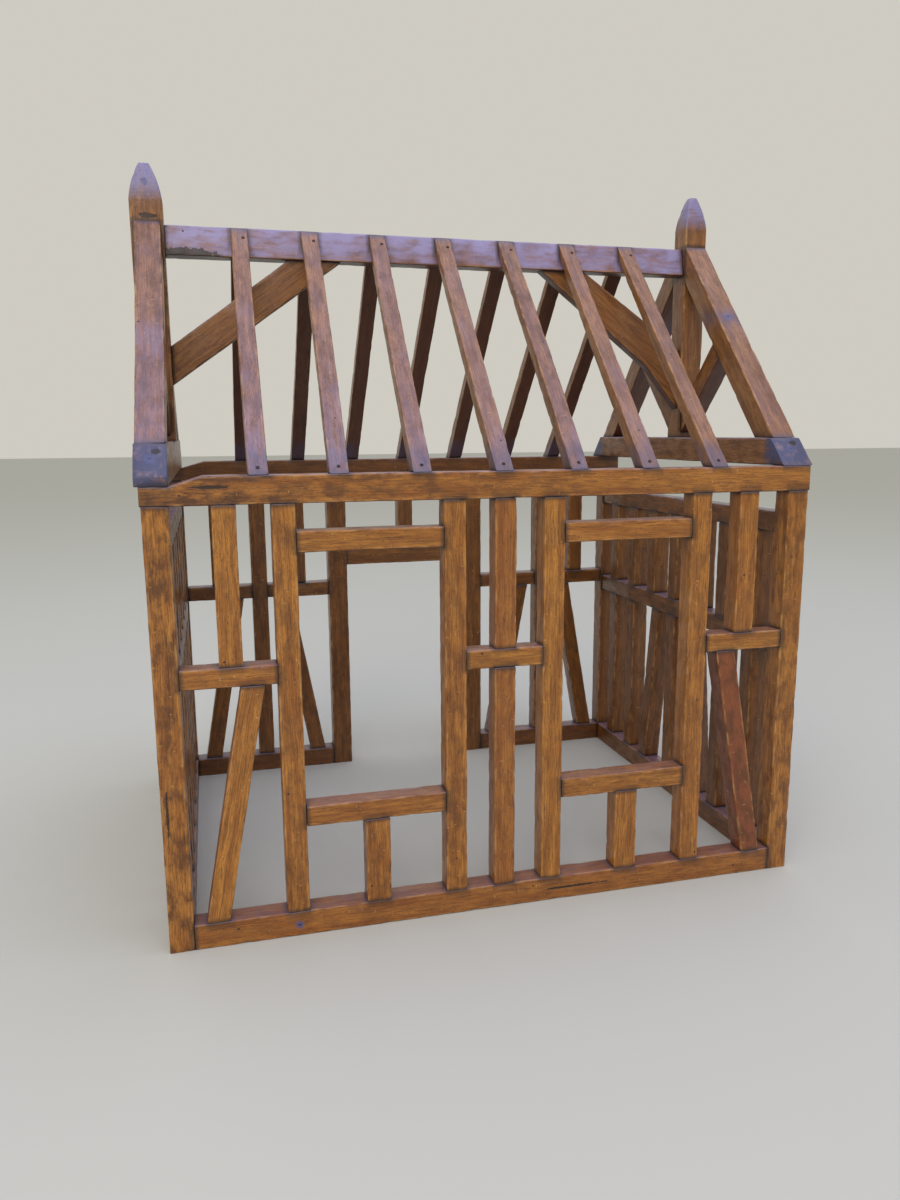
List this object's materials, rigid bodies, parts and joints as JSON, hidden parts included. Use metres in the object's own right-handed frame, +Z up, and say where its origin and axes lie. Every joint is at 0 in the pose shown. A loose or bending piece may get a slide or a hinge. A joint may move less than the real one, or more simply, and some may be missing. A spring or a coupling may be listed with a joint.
{
  "type": "dollhouse",
  "caption": "Open timber-frame model house: square wooden studs, rails and braces, window and door openings, king-post trusses with pointed heads, and nailed rafters",
  "frame": {"origin": "on the floor, under the middle of the house", "axes": "+X along the long walls to the right, +Y from the window wall to the door wall, +Z up"},
  "size_m": [0.391, 0.283, 0.443],
  "materials": {
    "wall_wood": "varnished amber-brown hardwood, worn pale along the edges",
    "back_wall_wood": "varnished brown hardwood, darker than the front",
    "roof_wood": "varnished brown hardwood with a cool sheen on top",
    "nail_steel": "dull dark steel"
  },
  "bodies": {
    "root": {"back_common_rafters": "back_wall_wood", "back_left_braces": "back_wall_wood", "back_left_post": "back_wall_wood", "back_left_rails": "back_wall_wood", "back_left_studs": "back_wall_wood", "back_right_braces": "back_wall_wood", "back_right_post": "back_wall_wood", "back_right_rails": "back_wall_wood", "back_right_studs": "back_wall_wood", "back_sills": "back_wall_wood", "back_wall_plate": "back_wall_wood", "door_header": "back_wall_wood", "door_header_stud": "back_wall_wood", "door_left_post": "back_wall_wood", "door_right_post": "back_wall_wood", "front_centre_rail": "wall_wood", "front_centre_studs": "wall_wood", "front_common_rafters": "roof_wood", "front_left_brace": "wall_wood", "front_left_post": "wall_wood", "front_left_rail": "wall_wood", "front_left_stud": "wall_wood", "front_right_brace": "wall_wood", "front_right_post": "wall_wood", "front_right_rail": "wall_wood", "front_right_stud": "wall_wood", "front_sill": "wall_wood", "front_wall_plate": "wall_wood", "left_gable_braces": "wall_wood", "left_gable_middle_rail": "wall_wood", "left_gable_sill": "wall_wood", "left_gable_studs": "wall_wood", "left_gable_top_rail": "wall_wood", "left_king_post": "roof_wood", "left_principal_rafters": "roof_wood", "left_ridge_brace": "roof_wood", "left_tie_beam": "roof_wood", "left_truss_struts": "roof_wood", "left_window_header": "wall_wood", "left_window_inner_post": "wall_wood", "left_window_outer_post": "wall_wood", "left_window_short_stud": "wall_wood", "left_window_sill_rail": "wall_wood", "rafter_nails": "nail_steel", "ridge_beam": "roof_wood", "right_gable_braces": "wall_wood", "right_gable_middle_rail": "wall_wood", "right_gable_sill": "wall_wood", "right_gable_studs": "wall_wood", "right_gable_top_rail": "wall_wood", "right_king_post": "roof_wood", "right_principal_rafters": "roof_wood", "right_ridge_brace": "roof_wood", "right_tie_beam": "roof_wood", "right_truss_struts": "roof_wood", "right_window_header": "wall_wood", "right_window_inner_post": "wall_wood", "right_window_outer_post": "wall_wood", "right_window_short_stud": "wall_wood", "right_window_sill_rail": "wall_wood"}
  },
  "joints": []
}
